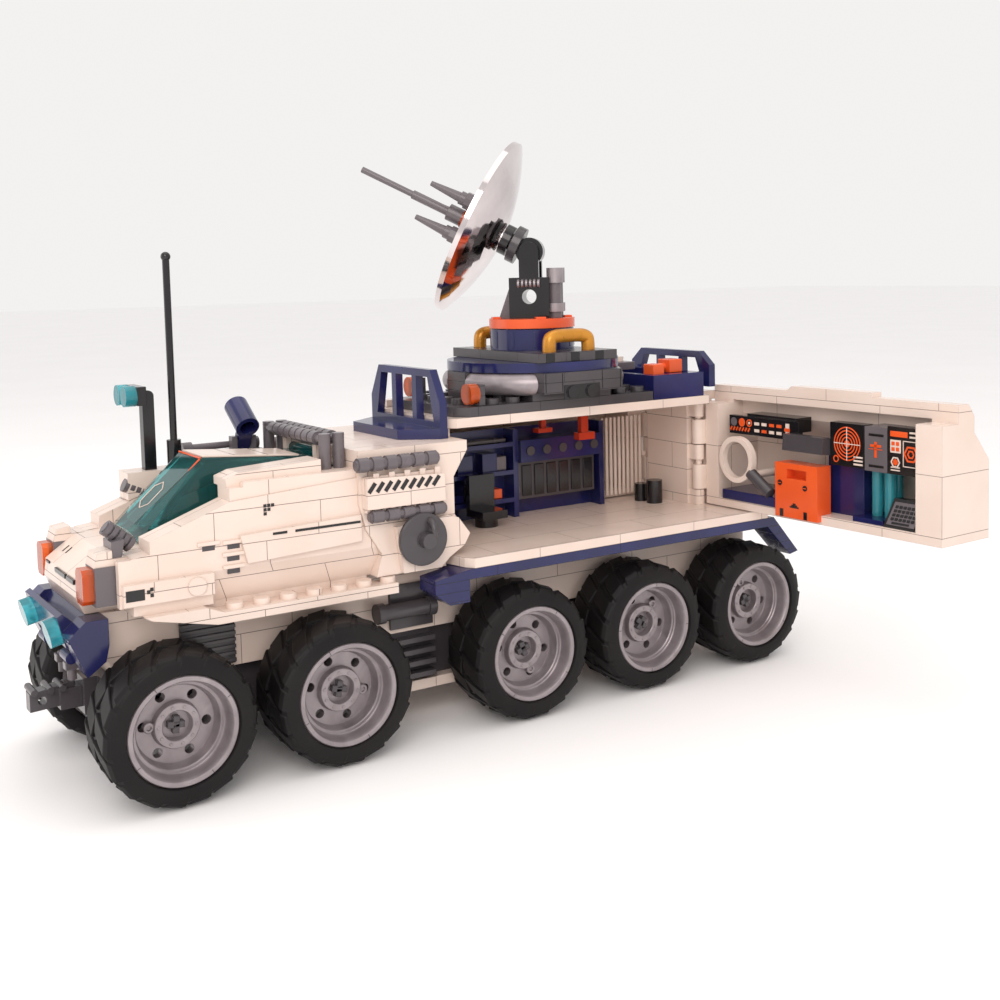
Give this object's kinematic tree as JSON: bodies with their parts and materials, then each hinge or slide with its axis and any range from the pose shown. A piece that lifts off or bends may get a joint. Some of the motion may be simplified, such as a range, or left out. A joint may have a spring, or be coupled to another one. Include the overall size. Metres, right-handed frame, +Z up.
{
  "type": "toy planetary rover",
  "caption": "Ten-wheeled toy planetary rover: tinted-canopy cabin, side bay behind swinging equipment doors, roof turret with tilting dish, railings, whip antenna and lamp mast.",
  "frame": {"origin": "centre of the bounding box in plan, at floor level under the tyres", "axes": "+Z up, nose towards -Y, the left side with the open door towards +X"},
  "size_m": [0.1674, 0.2638, 0.187],
  "materials": {
    "white_abs": "glossy moulded white",
    "navy_abs": "glossy moulded navy blue",
    "dark_grey_abs": "glossy moulded dark grey",
    "grey_abs": "glossy moulded grey",
    "pearl_abs": "pearl grey moulded",
    "black_abs": "glossy moulded black",
    "orange_abs": "glossy moulded orange",
    "amber_abs": "pearl gold moulded",
    "red_abs": "glossy moulded red",
    "amber_lens": "clear orange moulded",
    "teal_lens": "clear teal moulded",
    "teal_glass": "clear teal screen",
    "tyre_rubber": "moulded rubber",
    "dish_chrome": "mirror-plated dish"
  },
  "bodies": {
    "hull": {"chassis": "dark_grey_abs", "lower_hull": "white_abs", "under_gear": "dark_grey_abs", "hood": "white_abs", "nose_trim": "grey_abs", "amber_lamps": "amber_lens", "bumper": "navy_abs", "teal_lamps": "teal_lens", "tow_arm": "dark_grey_abs", "sponsons": "white_abs", "side_panels": "white_abs", "side_rollers": "grey_abs", "round_hatches": "dark_grey_abs", "cockpit": "dark_grey_abs", "shoulders": "white_abs", "hose_arches": "grey_abs", "lamp_mast": "black_abs", "whip_antenna": "black_abs", "roof_bar": "grey_abs", "bay_deck": "white_abs", "skirts": "navy_abs", "bulkhead": "white_abs", "rear_wall": "white_abs", "roof_panel": "white_abs", "bay_shelves": "navy_abs", "bay_chair": "black_abs", "bay_tools": "red_abs", "roof_deck": "dark_grey_abs", "railings": "navy_abs", "roof_pipes": "pearl_abs", "turret_base": "dark_grey_abs", "turret_rings": "navy_abs", "roof_handles": "amber_abs", "rear_box": "navy_abs"},
    "canopy": {"canopy": "teal_glass"},
    "telescope": {"telescope": "navy_abs"},
    "turret": {"turntable": "orange_abs", "dish_bracket": "grey_abs"},
    "dish": {"dish_arm": "black_abs", "dish": "dish_chrome", "dish_feed": "grey_abs"},
    "left_door": {"side_door": "white_abs", "door_trim": "black_abs", "door_console": "navy_abs", "magnifier": "white_abs", "orange_box": "orange_abs", "locker": "grey_abs"},
    "right_door": {"right_door": "white_abs"},
    "axle_1": {"wheels_1": "pearl_abs", "tyres_1": "tyre_rubber"},
    "axle_2": {"wheels_2": "pearl_abs", "tyres_2": "tyre_rubber"},
    "axle_3": {"wheels_3": "pearl_abs", "tyres_3": "tyre_rubber"},
    "axle_4": {"wheels_4": "pearl_abs", "tyres_4": "tyre_rubber"},
    "axle_5": {"wheels_5": "pearl_abs", "tyres_5": "tyre_rubber"}
  },
  "joints": [
    {"name": "axle_1_spin", "type": "hinge", "parent": "hull", "child": "axle_1", "pos_m": [-0.03919, -0.10188, 0.0216], "axis": [1, 0, 0], "continuous": true},
    {"name": "axle_2_spin", "type": "hinge", "parent": "hull", "child": "axle_2", "pos_m": [-0.03919, -0.05388, 0.0216], "axis": [1, 0, 0], "continuous": true},
    {"name": "axle_3_spin", "type": "hinge", "parent": "hull", "child": "axle_3", "pos_m": [-0.03919, 0.01012, 0.0216], "axis": [1, 0, 0], "continuous": true},
    {"name": "axle_4_spin", "type": "hinge", "parent": "hull", "child": "axle_4", "pos_m": [-0.03919, 0.05812, 0.0216], "axis": [1, 0, 0], "continuous": true},
    {"name": "axle_5_spin", "type": "hinge", "parent": "hull", "child": "axle_5", "pos_m": [-0.03919, 0.10612, 0.0216], "axis": [1, 0, 0], "continuous": true},
    {"name": "left_door_swing", "type": "hinge", "parent": "hull", "child": "left_door", "pos_m": [-0.02419, 0.10312, 0.075], "axis": [0, 0, 1], "range_deg": [-92, 0]},
    {"name": "right_door_swing", "type": "hinge", "parent": "hull", "child": "right_door", "pos_m": [-0.05419, 0.10312, 0.075], "axis": [0, 0, 1], "range_deg": [-92, 0]},
    {"name": "canopy_lift", "type": "hinge", "parent": "hull", "child": "canopy", "pos_m": [-0.03919, -0.04568, 0.0876], "axis": [-1, 0, 0], "range_deg": [0, 36]},
    {"name": "telescope_tilt", "type": "hinge", "parent": "hull", "child": "telescope", "pos_m": [-0.06229, -0.05788, 0.0894], "axis": [0, 1, 0], "range_deg": [-33, 5]},
    {"name": "turret_turn", "type": "hinge", "parent": "hull", "child": "turret", "pos_m": [-0.03919, 0.04012, 0.125], "axis": [0, 0, 1], "continuous": true},
    {"name": "dish_tilt", "type": "hinge", "parent": "turret", "child": "dish", "pos_m": [-0.03919, 0.04012, 0.149], "axis": [0.766, -0.6428, 0], "range_deg": [-15, 20]}
  ]
}
